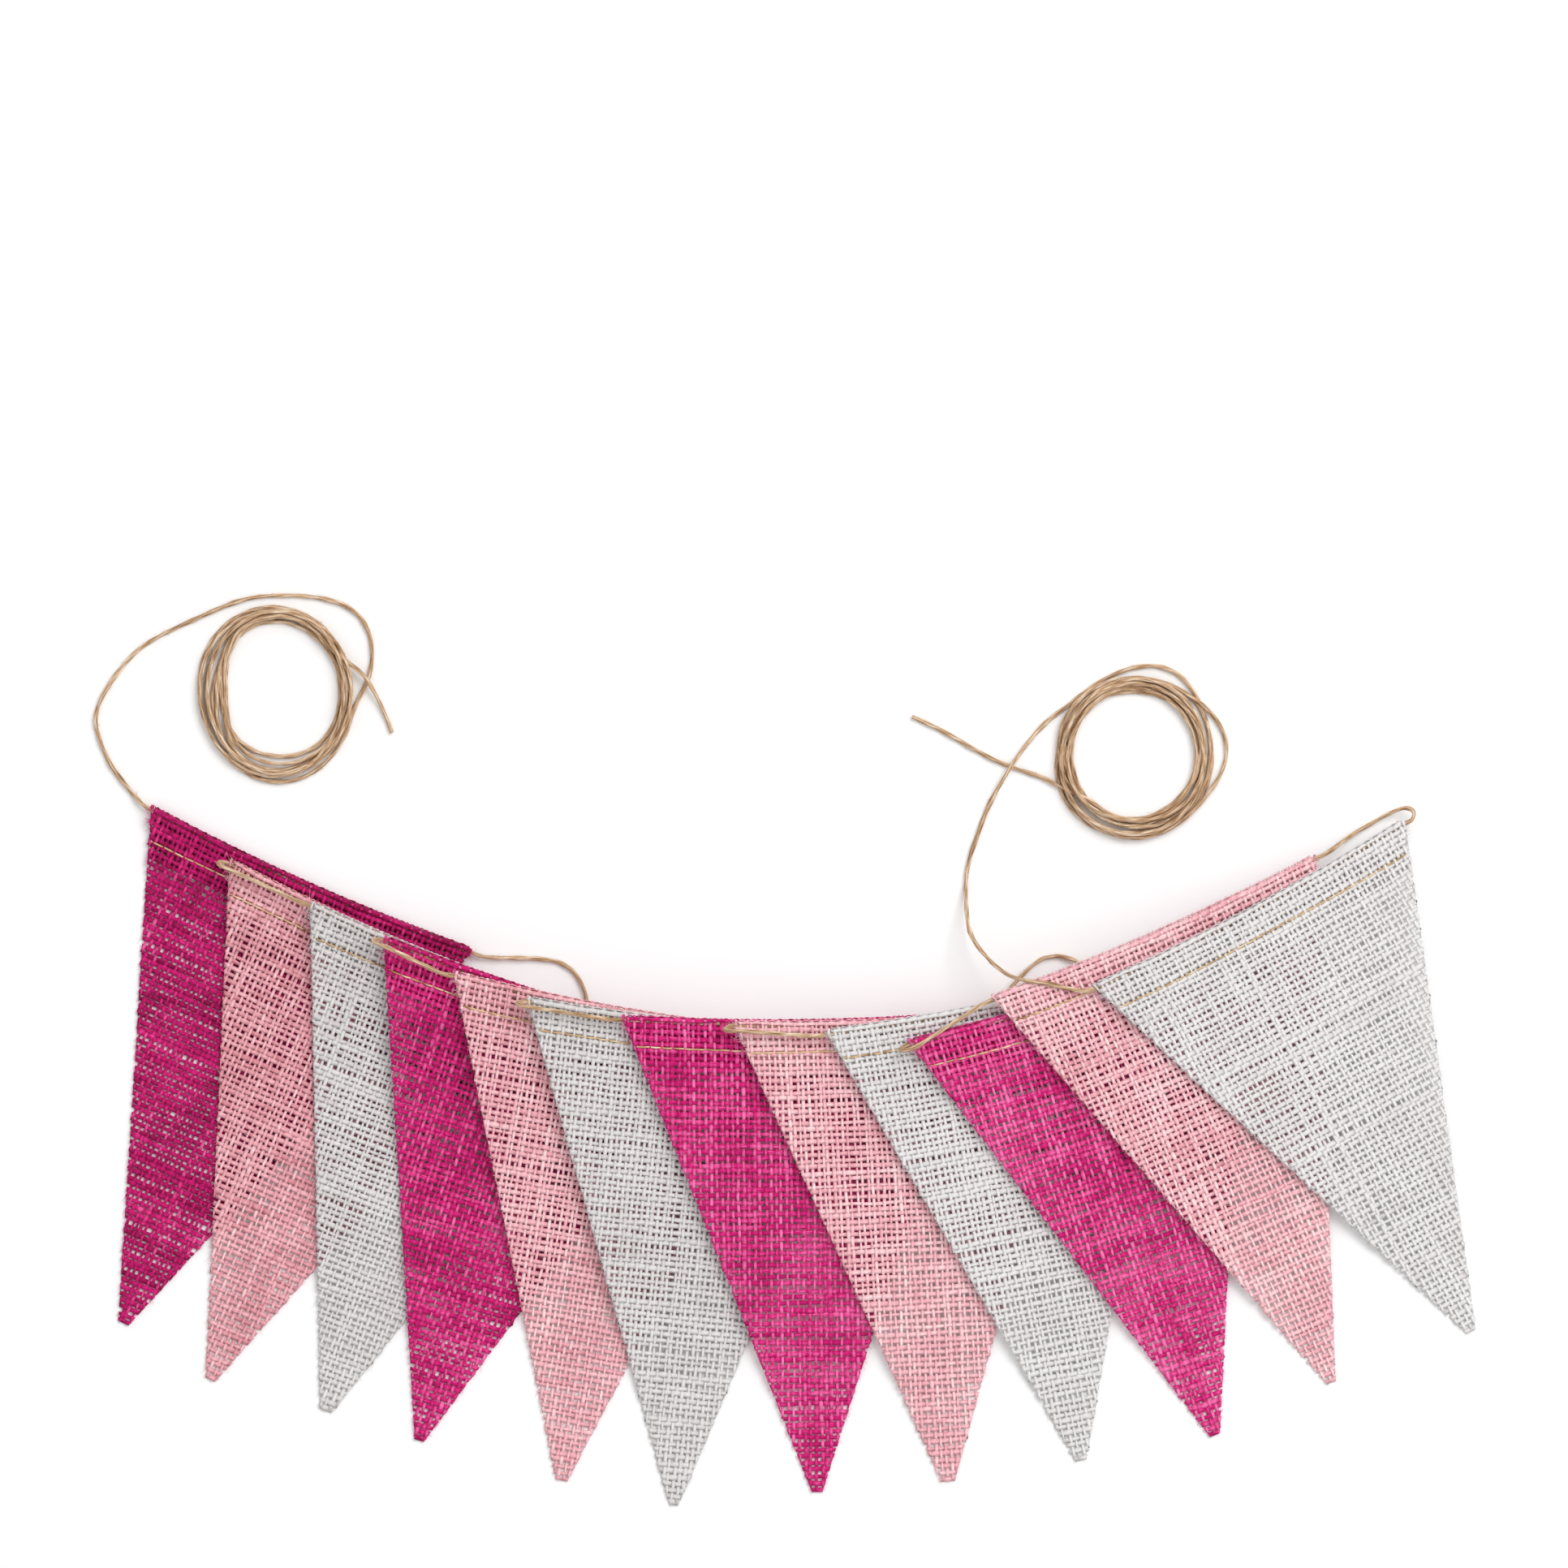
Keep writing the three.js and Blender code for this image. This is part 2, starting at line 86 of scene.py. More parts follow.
# Each tie: where its lead and its cut end start in plan, angles at which the coil is joined and left,
# whole turns, declared length, loose places as (turns from the start, width in turns, mm out), and by
# how much and at which angle the strands spread apart
TIES = {
    "left": {
        "lead": (-233.6, 125.0), "end": (-160.9, 179.4), "joins": -12.0, "leaves": 42.0, "turns": 9,
        "length": 1.73, "seed": 3,
        "loose": (
            (3.2, 0.13, -2.6), (3.46, 0.1, -2.2), (4.46, 0.1, -3.2), (8.47, 0.1, -3.9), (5.46, 0.1, -1.6),
        ),
        "spread": (0.16, 200.0),
    },
    "right": {
        "lead": (110.9, 62.6), "end": (93.2, 137.8), "joins": 128.0, "leaves": 228.0, "turns": 10,
        "length": 1.85, "seed": 8,
        "loose": ((0.17, 0.085, 6.6), (6.33, 0.09, 6.6), (3.1, 0.1, -3.4), (1.24, 0.07, 2.6)),
        "spread": (0.3, 268.0),
    },
}


def linear(colour):
    """A colour given as 0 to 255 on screen, as linear light with full alpha."""
    share = np.array(colour) / 255
    light = np.where(share <= 0.04045, share / 12.92, ((share + 0.055) / 1.055) ** 2.4)
    return (*light.tolist(), 1.0)


class Finish:
    """One socket of a material's nodes. Sums on it add Math nodes, and make() adds any other node."""

    def __init__(self, tree, socket=None):
        self.tree = tree
        self.socket = socket

    def make(self, kind, settings, sockets, out=0):
        node = self.tree.nodes.new(kind)
        for name, value in settings.items():
            if name == "stops":
                ramp = node.color_ramp.elements
                while len(ramp) < len(value):
                    ramp.new(0.5)
                for element, (place, colour) in zip(ramp, value):
                    element.position = place
                    element.color = colour
            else:
                setattr(node, name, value)
        for name, value in sockets.items():
            if isinstance(value, Finish):
                self.tree.links.new(value.socket, node.inputs[name])
            else:
                node.inputs[name].default_value = value
        return Finish(self.tree, node.outputs[out])

    def sum(self, operation, first, second):
        return self.make("ShaderNodeMath", {"operation": operation}, {0: first, 1: second})

    def __add__(self, other):
        return self.sum("ADD", self, other)

    def __radd__(self, other):
        return self.sum("ADD", other, self)

    def __sub__(self, other):
        return self.sum("SUBTRACT", self, other)

    def __mul__(self, other):
        return self.sum("MULTIPLY", self, other)


def yarn_material(name, dark, middle, light, sheen, fibres=(1.0, 1.0, 1.0), streak=0.8):
    """Spun jute: shade = the yarn's tone (its own, plus the painted light and shade set on the mesh) +
    fibre streaks drawn out along it + slow dye patches, through a ramp of three shades. The streaks also
    roughen it and are a fine bump."""
    material = bpy.data.materials.new(name)
    material.use_nodes = True
    tree = material.node_tree
    shader = tree.nodes["Principled BSDF"]
    start = Finish(tree)
    tone = start.make("ShaderNodeAttribute", {"attribute_name": "tone"}, {}, "Fac")
    yarn = start.make("ShaderNodeAttribute", {"attribute_name": "yarn"}, {}, "Vector")
    place = start.make("ShaderNodeTexCoord", {}, {}, "Object")
    drawn = start.make("ShaderNodeVectorMath", {"operation": "MULTIPLY"}, {0: yarn, 1: fibres}, "Vector")
    streaks = start.make(
        "ShaderNodeTexNoise", {}, {"Vector": drawn, "Scale": 1.0, "Detail": 3.0, "Roughness": 0.6}, "Fac")
    patches = start.make(
        "ShaderNodeTexNoise", {}, {"Vector": place, "Scale": 45.0, "Detail": 2.0}, "Fac")
    shade = tone + (streaks - 0.5) * streak + (patches - 0.5) * 0.35
    stops = ((0.12, linear(dark)), (0.5, linear(middle)), (0.86, linear(light)))
    colour = start.make("ShaderNodeValToRGB", {"stops": stops}, {"Fac": shade}, "Color")
    rough = 0.7 + streaks * 0.25
    bump = start.make(
        "ShaderNodeBump", {}, {"Height": streaks, "Strength": 0.5, "Distance": 0.15 * MM}, "Normal")
    tree.links.new(colour.socket, shader.inputs["Base Color"])
    tree.links.new(rough.socket, shader.inputs["Roughness"])
    tree.links.new(bump.socket, shader.inputs["Normal"])
    shader.inputs["Sheen Weight"].default_value = sheen
    shader.inputs["Specular IOR Level"].default_value = 0.15
    return material


STREAKS_PER_MM = 0.35
STREAKS_ROUND = 4.0
TUBE_APART = 7.3  # so that no two tubes have the same streaks


def bundle(rings, joined, tone):
    """Closed tubes from rings of points: rings[t, k, s] is point s of ring k of tube t, joined[t, k] says
    that ring k runs on into ring k + 1, and where a tube stops its last ring is a flat face. The yarn's
    own coordinates are its length so far, the way round it, and the tube's number, in units of a streak."""
    sides = rings.shape[2]
    before = np.pad(joined, ((0, 0), (1, 0)))
    after = np.pad(joined, ((0, 0), (0, 1)))
    used = before | after
    ring = np.cumsum(used).reshape(used.shape) - 1
    side = np.arange(sides)
    turn = np.roll(side, -1)
    near = ring[:, :-1][joined][:, None] * sides
    far = ring[:, 1:][joined][:, None] * sides
    walls = np.stack([near + side, near + turn, far + turn, far + side], axis=-1)
    first = ring[used & ~before][:, None] * sides + side[::-1]
    last = ring[used & ~after][:, None] * sides + side
    steps = np.linalg.norm(np.diff(rings.mean(axis=2), axis=1), axis=2) / MM
    along = np.pad(np.cumsum(np.where(joined, steps, 0), axis=1), ((0, 0), (1, 0)))
    along = np.broadcast_to(along[:, :, None], rings.shape[:3])
    around = np.broadcast_to(STREAKS_ROUND * side / sides, rings.shape[:3])
    number = np.broadcast_to(TUBE_APART * np.arange(len(rings))[:, None, None], rings.shape[:3])
    yarn = np.stack([STREAKS_PER_MM * along, around, number], axis=-1)
    return {
        "points": rings[used].reshape(-1, 3),
        "tone": np.broadcast_to(tone, rings.shape[:3])[used].ravel(),
        "yarn": yarn[used].reshape(-1, 3),
        "walls": walls.reshape(-1, 4),
        "ends": np.concatenate([first, last]),
        "sides": sides,
    }


def strip_map(bundles, rows):
    """A flat map of all tubes, one after another, cut into rows of one length: across a row runs the
    length, and up a row runs the way round. An end face takes a small patch of the map."""
    walls = [len(part["walls"]) // part["sides"] for part in bundles]
    per_row = int(np.ceil(sum(walls) / rows))
    start = np.cumsum([0, *walls])
    maps = []
    for part, first, count in zip(bundles, start, walls):
        place = first + np.repeat(np.arange(count), part["sides"])
        side = np.tile(np.arange(part["sides"]), count)
        across = (place % per_row)[:, None] + np.array([0.0, 0.0, 1.0, 1.0])
        round_share = (side[:, None] + np.array([0, 1, 1, 0])) / part["sides"]
        up = (place // per_row)[:, None] + 0.05 + 0.9 * round_share
        maps.append(np.stack([across / per_row, up / rows], axis=-1).reshape(-1, 2))
        angle = 2 * np.pi * np.arange(part["sides"]) / part["sides"]
        patch = np.stack([0.5 + 0.4 * np.cos(angle), 0.5 + 0.4 * np.sin(angle)], axis=-1) / (per_row, rows)
        maps.append(np.tile(patch, (len(part["ends"]), 1)))
    return np.concatenate(maps)


def yarn_piece(name, bundles, material, rows):
    """One mesh of several bundles of tubes, with their tones and yarn coordinates as attributes."""
    shift = np.cumsum([0, *(len(part["points"]) for part in bundles)])
    faces = []
    for part, first in zip(bundles, shift):
        faces += [part["walls"] + first, part["ends"] + first]
    corners = np.concatenate([block.ravel() for block in faces])
    sizes = np.concatenate([np.full(len(block), block.shape[1]) for block in faces])
    points = np.concatenate([part["points"] for part in bundles])
    mesh = bpy.data.meshes.new(name)
    mesh.vertices.add(len(points))
    mesh.vertices.foreach_set("co", points.astype(np.float32).ravel())
    mesh.loops.add(len(corners))
    mesh.loops.foreach_set("vertex_index", corners.astype(np.int32))
    mesh.polygons.add(len(sizes))
    mesh.polygons.foreach_set("loop_start", (np.cumsum(sizes) - sizes).astype(np.int32))
    mesh.polygons.foreach_set("use_smooth", np.ones(len(sizes), bool))
    tones = np.concatenate([part["tone"] for part in bundles]).astype(np.float32)
    mesh.attributes.new("tone", "FLOAT", "POINT").data.foreach_set("value", tones)
    yarns = np.concatenate([part["yarn"] for part in bundles]).astype(np.float32)
    mesh.attributes.new("yarn", "FLOAT_VECTOR", "POINT").data.foreach_set("vector", yarns.ravel())
    flat = mesh.uv_layers.new(name="OFBake")
    flat.uv.foreach_set("vector", strip_map(bundles, rows).astype(np.float32).ravel())
    mesh.materials.append(material)
    mesh.update(calc_edges=True)
    piece = bpy.data.objects.new(name, mesh)
    bpy.context.scene.collection.objects.link(piece)
    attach(piece, "root")
    return piece


def unit(vectors):
    """The same directions, each of length one."""
    return vectors / np.maximum(np.linalg.norm(vectors, axis=-1, keepdims=True), 1e-12)


def cad_corners(node):
    """A CAD node's corners with doubles merged, and its triangles as places in that list."""
    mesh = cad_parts[node].data
    mesh.calc_loop_triangles()
    corners = np.empty(len(mesh.vertices) * 3, np.float32)
    mesh.vertices.foreach_get("co", corners)
    triangles = np.empty(len(mesh.loop_triangles) * 3, np.int32)
    mesh.loop_triangles.foreach_get("vertices", triangles)
    grid = np.round(corners.reshape(-1, 3) / (0.001 * MM)).astype(np.int64)
    merged, place = np.unique(grid, axis=0, return_inverse=True)
    return merged * (0.001 * MM), place.reshape(-1)[triangles].reshape(-1, 3)


def ring_centres(node, start):
    """The centreline of a CAD tube from the end that is nearest to a plan point: each ring is the corners
    joined to the last ring, and its mean is one point of the line."""
    points, triangles = cad_corners(node)
    edges = np.concatenate([triangles[:, [0, 1]], triangles[:, [1, 2]], triangles[:, [2, 0]]])
    away = np.linalg.norm(points[:, :2] - np.array(start) * MM, axis=1)
    ring = np.argsort(away)[:CAD_TUBE_SIDES]
    taken = np.zeros(len(points), bool)
    centres = []
    while ring.size:
        taken[ring] = True
        centres.append(points[ring].mean(axis=0))
        beyond = np.unique(edges[:, ::-1][np.isin(edges, ring)])
        ring = beyond[~taken[beyond]]
    return np.array(centres)


def even_line(points, step, slack):
    """The same line in equal steps of its length, each point the mean of its neighbours, weighted by a bell
    that is `slack` wide. Both ends stay."""
    lengths = np.r_[0, np.cumsum(np.linalg.norm(np.diff(points, axis=0), axis=1))]
    stations = np.linspace(0, lengths[-1], int(lengths[-1] / step) + 1)
    line = np.stack([np.interp(stations, lengths, axis) for axis in points.T], axis=1)
    reach = int(3 * slack / step)
    bell = np.exp(-0.5 * (np.arange(-reach, reach + 1) * step / slack) ** 2)
    longer = np.concatenate([2 * line[:1] - line[reach:0:-1], line, 2 * line[-1:] - line[-2:-reach - 2:-1]])
    return np.stack([np.convolve(axis, bell / bell.sum(), "valid") for axis in longer.T], axis=1)


def coil_turns(node, tie):
    """A hand-wound coil, clockwise: at s turns the radius is the oval's middle + the strand's slot + slow
    waves + a bell at each loose place, more on the side where the strands spread, and the height is the
    slot's. A strand shifts slot late in its turn."""
    low, high = (np.array(corner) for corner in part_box(node))
    middle, radii = (low + high) / 2, (high - low)[:2] / 2 - COIL_BAND / 2
    total = tie["turns"] + (tie["joins"] - tie["leaves"]) / 360
    turns = np.linspace(0, total, int(total * COIL_STEPS))
    angle = np.radians(tie["joins"]) - 2 * np.pi * turns
    slot = np.minimum(turns.astype(int), len(COIL_SLOTS) - 2)
    late = np.clip((turns - slot - SHIFT_START) / (1 - SHIFT_START), 0, 1)
    late = (late * late * (3 - 2 * late))[:, None]
    out, height = (COIL_SLOTS[slot] * (1 - late) + COIL_SLOTS[slot + 1] * late).T
    phase = np.random.default_rng(tie["seed"]).uniform(0, 2 * np.pi, len(COIL_WOBBLE))
    for (waves, size), begin in zip(COIL_WOBBLE, phase):
        out = out + size * MM * np.sin(2 * np.pi * waves * turns + begin)
    for place, width, reach in tie["loose"]:
        bell = np.exp(-(((turns - place) / width) ** 2))
        out = out + reach * MM * bell
        height = height + (TWINE_RADIUS - height) * bell * min(1.0, abs(reach) / LOOSE_DROP)
    more, towards = tie["spread"]
    out = out * (1 + more * np.cos(angle - np.radians(towards)))
    plan = middle[:2] + (radii + out[:, None]) * np.stack([np.cos(angle), np.sin(angle)], axis=1)
    return np.column_stack([plan, height])


def line_axes(line):
    """At each point of a line: its direction, the level direction to its side, and the one above it."""
    ahead = unit(np.gradient(line, axis=0))
    beside = unit(np.cross(np.array([0.0, 0.0, 1.0]), ahead))
    return ahead, beside, np.cross(ahead, beside)


def twisted_twine(line):
    """A loosely twisted strand: at length s and angle a the radius is R(s)(0.9 + 0.1 cos 2(a - turn)), with
    the turn growing by one full circle in each lay, and R(s) swelling and thinning slowly."""
    ahead, beside, above = line_axes(line)
    angle = 2 * np.pi * (np.arange(TWINE_SIDES) + 0.5) / TWINE_SIDES - np.pi / 2
    turn = 2 * np.pi * np.arange(len(line)) * TWINE_STEP / TWINE_LAY
    ply = np.cos(2 * (angle - turn[:, None]))
    place = np.arange(len(line))[:, None] * TWINE_STEP / MM
    swell = 0.93 + 0.07 * np.sin(place / 7.3) + 0.05 * np.sin(place / 2.9 + 1.0)
    radius = (TWINE_RADIUS * swell * (0.9 + 0.1 * ply))[..., None]
    # Painted light and shade: the strand is drawn paler on the ridges of its twist and darker in the
    # grooves between them; the slow wave along it is its own tone.
    tone = 0.5 + 0.07 * ply + 0.06 * np.sin(place / 11.0 + 2.0)
    spokes = np.cos(angle)[:, None] * -beside[:, None] + np.sin(angle)[:, None] * above[:, None]
    rings = line[:, None] + radius * spokes
    return bundle(rings[None], np.ones((1, len(line) - 1), bool), tone[None])


def hair_bundle(roots, ahead, out, length, tone, thickness):
    """Loose fibres: each leaves its root along `ahead` and bends towards `out` with the square of its
    length, never below the table. It is a three-sided tube that tapers to its tip."""
    share = np.linspace(0, 1, HAIR_RINGS)
    spine = (share * (1 - 0.25 * share))[:, None] * ahead[:, None] + (share ** 2)[:, None] * out[:, None]
    spine = roots[:, None] + length[:, None, None] * spine
    spine[..., 2] = np.maximum(spine[..., 2], thickness)
    aim = unit(np.gradient(spine, axis=1))
    beside = unit(np.cross(aim, np.array([0.31, 0.22, 0.93])))
    above = np.cross(aim, beside)
    angle = 2 * np.pi * np.arange(HAIR_SIDES) / HAIR_SIDES
    spokes = np.cos(angle)[:, None] * -beside[:, :, None] + np.sin(angle)[:, None] * above[:, :, None]
    rings = spine[:, :, None] + thickness * (1 - 0.7 * share)[:, None, None] * spokes
    return bundle(rings, np.ones((len(roots), HAIR_RINGS - 1), bool), tone[:, None, None])


def twine_hairs(line, seed):
    """Fibres that stand off a twine: a root at a random place and angle on its skin, leaning along it."""
    rng = np.random.default_rng(seed)
    count = int(len(line) * TWINE_STEP * HAIRS_PER_METRE)
    place = rng.integers(3, len(line) - 3, count)
    ahead, beside, above = (axis[place] for axis in line_axes(line))
    angle = rng.uniform(-0.2 * np.pi, 1.2 * np.pi, count)[:, None]
    spoke = np.cos(angle) * beside + np.sin(angle) * above
    roots = line[place] + 0.6 * TWINE_RADIUS * spoke
    lean = np.where(rng.random(count) < 0.5, 1.0, -1.0)[:, None]
    aim = unit(lean * ahead + rng.uniform(0.15, 0.5, (count, 1)) * spoke)
    bend = rng.uniform(-0.2, 0.25, (count, 1)) * spoke + rng.normal(0, 0.1, (count, 3))
    length = rng.uniform(1.2, 3.0, count) * MM
    return hair_bundle(roots, aim, bend, length, rng.uniform(0.45, 1.0, count), HAIR_RADIUS)


JUTE_FIBRES = (0.4, 2.5, 1.0)  # finer round the twine and longer along it than in the cloth's yarns
jute = yarn_material("jute_twine", JUTE_DARK, JUTE_MID, JUTE_LIGHT, 0.1, JUTE_FIBRES, 1.7)
TWINE_SLACK = 2.0 * MM
TWINE_MAP_ROWS = 20
for side, tie in TIES.items():
    lead = ring_centres(f"{side}_tie_lead", tie["lead"])
    cut_end = ring_centres(f"{side}_tie_end", tie["end"])
    route = np.concatenate([lead, coil_turns(f"{side}_tie_coil", tie), cut_end[1:]])
    line = even_line(route, TWINE_STEP, TWINE_SLACK)
    line[:, 2] = np.maximum(line[:, 2], TWINE_RADIUS)
    bundles = [twisted_twine(line), twine_hairs(line, tie["seed"])]
    piece = yarn_piece(f"{side}_tie", bundles, jute, TWINE_MAP_ROWS)
    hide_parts(f"{side}_tie_lead", f"{side}_tie_coil", f"{side}_tie_end")

# Strung twine: the same jute twine inside the hems, threaded to and fro, so that it turns back in a
# small loop at each end of a hem. The loops at the left lie over the hem, where they show.
STRUNG_START = (-233.6, 125.0)
STRUNG_SLACK = 1.2 * MM
STRUNG_SEED = 21
strung_line = even_line(ring_centres("twine_strung", STRUNG_START), TWINE_STEP, STRUNG_SLACK)
bundles = [twisted_twine(strung_line), twine_hairs(strung_line, STRUNG_SEED)]
strung = yarn_piece("twine_strung_jute", bundles, jute, TWINE_MAP_ROWS)
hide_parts("twine_strung")

# Pennants: triangles of hessian, a plain weave of thick uneven jute yarns with open holes between
# them, dyed or bleached. The top strip is folded to the back round the twine and stitched down.
PENNANT_WIDTH = 130.0
TIP_WIDTH = 3.0
CORNER_TRIM = 3.0
TOP_BOW = 2.5
TOP_BOW_REACH = 80.0
HEM_DEPTH = 17.5
HEM_FADE = 27.0
STITCH_DEPTH = 12.0
FOLD_CENTRE = 2.2  # depth of the twine below the fold
FOLD_RADIUS = 1.7  # middle of the cloth round the twine
CLOTH_MIDDLE = 0.58  # height of the cloth's middle over what it lies on
# Section of the hem: depth, and height of the front's underside
SECTION = ((2.2, 3.4), (6.0, 2.2), (12.0, 1.3), (18.3, 1.3), (27.0, 0.0))
FOLD_POINTS = 25
BED_DEPTHS = (2.2, 12.0, 27.0)
CLOTH = 1.0
BODY_ROWS = 8
COLUMNS = 7
FINE_ROWS = 121
FINE_COLUMNS = 57
BED_BELL = (5.0, 0.04)  # how far the bed is softened: down in mm, across as a share
WARPS = 66
WEFT_PITCH = 2.35
WARP_SIZE = (1.2, 0.5)  # width and thickness of the yarns along the pennant
WEFT_SIZE = (1.72, 0.5)  # and of those along the hem
WEAVE_RISE = 0.3
YARN_DRIFT = 0.16
PAINTED_TOP_LIGHT = 0.1  # painted light: a yarn is drawn paler where it lies on top and darker where it dips under
YARN_SIDES = 5
DYES = {
    "magenta": ((126, 0, 60), (208, 26, 116), (251, 126, 186), 0.05),
    "pink": ((200, 122, 132), (238, 176, 184), (252, 222, 224), 0.1),
    "white": ((202, 197, 196), (222, 219, 218), (231, 229, 228), 0.1),
}
FULLNESS = {"magenta": 0.98, "pink": 0.96, "white": 1.06}  # width of the yarns against the usual
# In the order they are threaded: dye, hem's left end, slope of the hem in degrees, point, in mm, and
# how much paler or darker than its dye the photograph shows it: painted shade, mostly darker towards
# the left, where the light falls off across the fan
PENNANTS = (
    ("magenta", -236.5, 128.8, -24.0, -247.5, -63.1, -0.20),
    ("pink", -207.6, 109.2, -23.5, -215.4, -83.3, -0.17),
    ("white", -177.9, 93.7, -20.5, -173.4, -95.8, -0.20),
    ("magenta", -151.1, 81.2, -17.5, -138.6, -105.3, -0.06),
    ("pink", -125.5, 68.1, -10.0, -86.6, -121.1, -0.03),
    ("white", -98.8, 58.9, -6.0, -45.2, -128.8, -0.15),
    ("magenta", -64.3, 52.1, 0.5, 7.4, -124.6, 0.00),
    ("pink", -23.8, 50.0, 3.0, 55.6, -122.3, 0.00),
    ("white", 10.1, 46.7, 11.5, 104.4, -113.3, 0.00),
    ("magenta", 39.9, 43.1, 17.5, 153.5, -103.8, 0.05),
    ("pink", 70.5, 59.2, 23.5, 196.0, -83.9, 0.02),
    ("white", 107.4, 63.1, 28.0, 247.5, -65.4, 0.00),
)


class Pennant:
    """One pennant's cut and lie: u runs along the fold from its left end, v down from the fold, in mm."""

    def __init__(self, number, row):
        self.dye, x, y, slope, tip_x, tip_y, self.shade = row
        turn = np.radians(slope)
        self.corner = np.array([x, y])
        self.along = np.array([np.cos(turn), np.sin(turn)])
        self.down = np.array([np.sin(turn), -np.cos(turn)])
        tip = np.array([tip_x, tip_y]) - self.corner
        self.tip = tip @ self.along
        self.length = tip @ self.down
        self.read_bed(f"pennant_{number:02d}")
        self.lay_section()

    def sides(self, v):
        """Left and right cut edges at depth v: straight lines from the hem's ends to the blunt point."""
        trim = np.maximum(0, CORNER_TRIM - v)
        left = (self.tip - TIP_WIDTH / 2) * v / self.length + trim
        right = PENNANT_WIDTH + (self.tip + TIP_WIDTH / 2 - PENNANT_WIDTH) * v / self.length - trim
        return left, right

    def plan(self, u, v):
        """Place on the table: corner + u along + v down, with the slack middle of the hem sagging."""
        s = np.clip(u / PENNANT_WIDTH, 0, 1)
        depth = v + TOP_BOW * 4 * s * (1 - s) * np.maximum(0, 1 - v / TOP_BOW_REACH)
        return self.corner + u[..., None] * self.along + depth[..., None] * self.down

    def read_bed(self, node):
        """Height of what the cloth lies on, from the CAD cloth's top corners, over a fine grid of depth and
        share across: straight between those corners, then softened by a bell."""
        corners = cad_corners(node)[0] / MM
        body = HEM_FADE + (self.length - HEM_FADE) * np.arange(1, BODY_ROWS + 1) / BODY_ROWS
        depths = np.r_[BED_DEPTHS, body]
        share = np.arange(COLUMNS + 1) / COLUMNS
        left, right = (edge[:, None] for edge in self.sides(depths))
        v = np.broadcast_to(depths[:, None], (len(depths), COLUMNS + 1))
        spots = self.plan(left + (right - left) * share, v).reshape(-1, 2)
        away = np.linalg.norm(spots[:, None] - corners[:, :2], axis=2)
        near = away < away.min(axis=1, keepdims=True) + 0.05
        top = np.where(near, corners[:, 2], -1.0).max(axis=1).reshape(v.shape)
        under = np.interp(depths, *np.array(SECTION).T)
        bed = top - (under + CLOTH)[:, None]
        self.fine_v = np.linspace(0, self.length, FINE_ROWS)
        self.fine_s = np.linspace(0, 1, FINE_COLUMNS)
        rows = np.stack([np.interp(self.fine_v, depths, column) for column in bed.T], axis=1)
        fine = np.stack([np.interp(self.fine_s, share, row) for row in rows])
        bell_v = np.exp(-0.5 * ((self.fine_v[:, None] - self.fine_v) / BED_BELL[0]) ** 2)
        bell_s = np.exp(-0.5 * ((self.fine_s[:, None] - self.fine_s) / BED_BELL[1]) ** 2)
        fine = (bell_v / bell_v.sum(axis=1, keepdims=True)) @ fine
        self.bed = fine @ (bell_s / bell_s.sum(axis=1, keepdims=True)).T

    def height(self, u, v):
        """The bed's height at u, v, straight between points of the fine grid."""
        left, right = self.sides(v)
        s = np.clip((u - left) / np.maximum(right - left, 0.1), 0, 1) * (len(self.fine_s) - 1)
        t = np.clip(v / self.length, 0, 1) * (len(self.fine_v) - 1)
        i = np.minimum(t.astype(int), len(self.fine_v) - 2)
        j = np.minimum(s.astype(int), len(self.fine_s) - 2)
        t, s = t - i, s - j
        near = self.bed[i, j] * (1 - s) + self.bed[i, j + 1] * s
        return near * (1 - t) + (self.bed[i + 1, j] * (1 - s) + self.bed[i + 1, j + 1] * s) * t

    def lay_section(self):
        """The cloth's middle line in section, from the flap's raw edge round the fold and down the front:
        its length from the fold (w), depth, height and direction."""
        flap_v = np.arange(HEM_DEPTH, FOLD_CENTRE, -0.25)
        turn = np.linspace(np.pi, 0, FOLD_POINTS)
        front_v = np.arange(FOLD_CENTRE + 0.25, self.length + 3.0, 0.25)
        v = np.r_[flap_v, FOLD_CENTRE - FOLD_RADIUS * np.sin(turn), front_v]
        fold_z = CLOTH_MIDDLE + FOLD_RADIUS * (1 + np.cos(turn))
        front_z = np.interp(front_v, *np.array(SECTION).T) + CLOTH_MIDDLE
        z = np.r_[np.full(len(flap_v), CLOTH_MIDDLE), fold_z, front_z]
        w = np.r_[0, np.cumsum(np.hypot(np.diff(v), np.diff(z)))]
        self.fold = len(flap_v) + FOLD_POINTS // 2
        self.w = w - w[self.fold]
        self.v, self.z = v, z
        slope_v, slope_z = np.gradient(v, w), np.gradient(z, w)
        size = np.hypot(slope_v, slope_z)
        self.run_v, self.run_z = slope_v / size, slope_z / size

    def section(self, w):
        """Depth, height and direction of the cloth's middle line at w, straight between its points."""
        return (np.interp(w, self.w, table) for table in (self.v, self.z, self.run_v, self.run_z))

    def cloth(self, u, w, lift):
        """A point on the cloth, `lift` off its middle, in metres, and there the directions along the hem,
        down the cloth and out of its face."""
        v, z, run_v, run_z = self.section(w)
        plan = self.plan(u, v - lift * run_z)
        bed = self.height(u, v)
        points = np.concatenate([plan, (bed + z + lift * run_v)[..., None]], axis=-1) * MM
        down = np.array([*self.down, 0.0])
        up = np.array([0.0, 0.0, 1.0])
        run = run_v[..., None] * down + run_z[..., None] * up
        face = -run_z[..., None] * down + run_v[..., None] * up
        along = np.broadcast_to(np.array([*self.along, 0.0]), points.shape)
        return points, along, run, face


